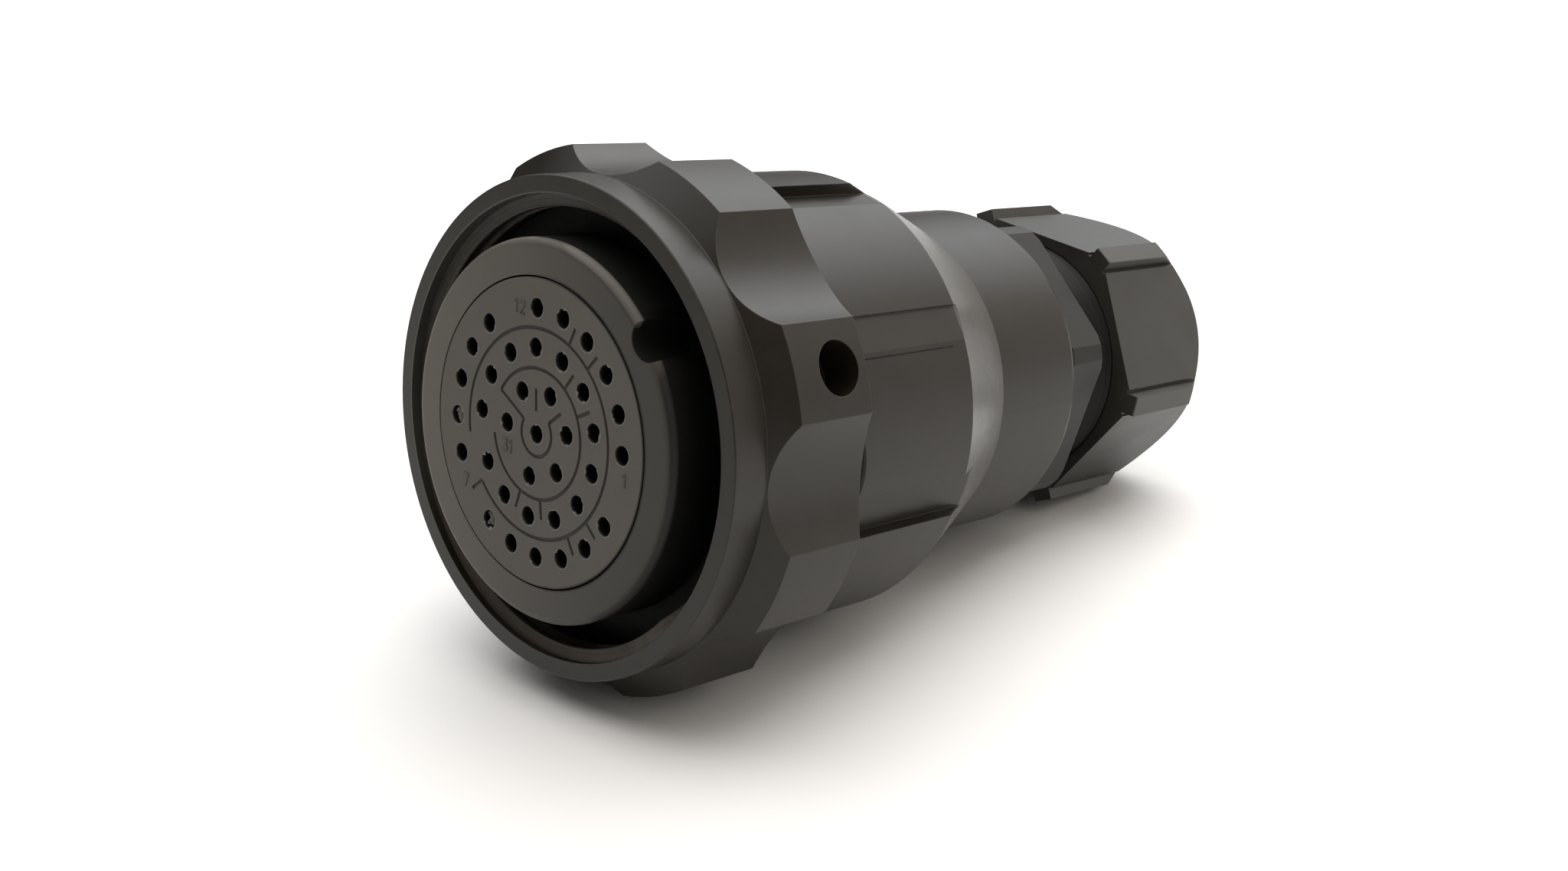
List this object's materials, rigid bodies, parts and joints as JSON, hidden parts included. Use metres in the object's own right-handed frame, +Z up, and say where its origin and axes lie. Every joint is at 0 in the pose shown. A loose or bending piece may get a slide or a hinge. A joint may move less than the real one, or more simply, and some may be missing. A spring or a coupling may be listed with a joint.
{
  "type": "cable connector",
  "caption": "Round multi-pole cable plug with a lobed screw coupling ring, a socket insert, a grooved rear shell and a cable gland.",
  "frame": {"origin": "centre of the bounding box at floor level, as the connector lies", "axes": "+Y from the nose to the gland nut, +Z up, +X to the right seen from the nose"},
  "size_m": [0.061, 0.1154, 0.0618],
  "materials": {
    "shell_metal": "satin black anodised",
    "insert_moulding": "matte",
    "gland_nylon": "semi-gloss",
    "seal_rubber": "matte",
    "spring_steel": "plain",
    "contact_metal": "plated"
  },
  "bodies": {
    "shell": {"front_shell": "shell_metal", "nose_barrel": "insert_moulding", "contact_insert": "insert_moulding", "rear_insert": "insert_moulding", "wire_grommet": "seal_rubber", "socket_contacts": "contact_metal", "contact_clips": "spring_steel", "interface_seal": "seal_rubber", "insert_dowel": "spring_steel", "retaining_washer": "spring_steel", "retaining_clip": "spring_steel", "slip_washer": "gland_nylon", "ring_seal": "seal_rubber", "rear_washer": "spring_steel", "rear_shell": "shell_metal", "shell_seal": "seal_rubber", "gland_gasket": "seal_rubber", "gland_body": "gland_nylon"},
    "coupling": {"coupling_ring": "shell_metal"},
    "clamp": {"clamp_basket": "gland_nylon", "cable_seal": "seal_rubber"},
    "nut": {"gland_nut": "gland_nylon"}
  },
  "joints": [
    {"name": "coupling_turn", "type": "hinge", "parent": "shell", "child": "coupling", "pos_m": [0, -0.04326, 0.03121], "axis": [0, 0.9923, -0.1237], "continuous": true},
    {"name": "clamp_travel", "type": "slide", "parent": "shell", "child": "clamp", "axis": [0, 0.9923, -0.1237], "range_m": [-0.0056, 0.0076]},
    {"name": "nut_turn", "type": "hinge", "parent": "clamp", "child": "nut", "pos_m": [0, 0.04417, 0.02031], "axis": [0, 0.9923, -0.1237], "range_deg": [-1320, 1800]}
  ],
  "couplings": [
    {"joint": "clamp_travel", "follows": "nut_turn", "m_per_rad": 0.00023873}
  ]
}
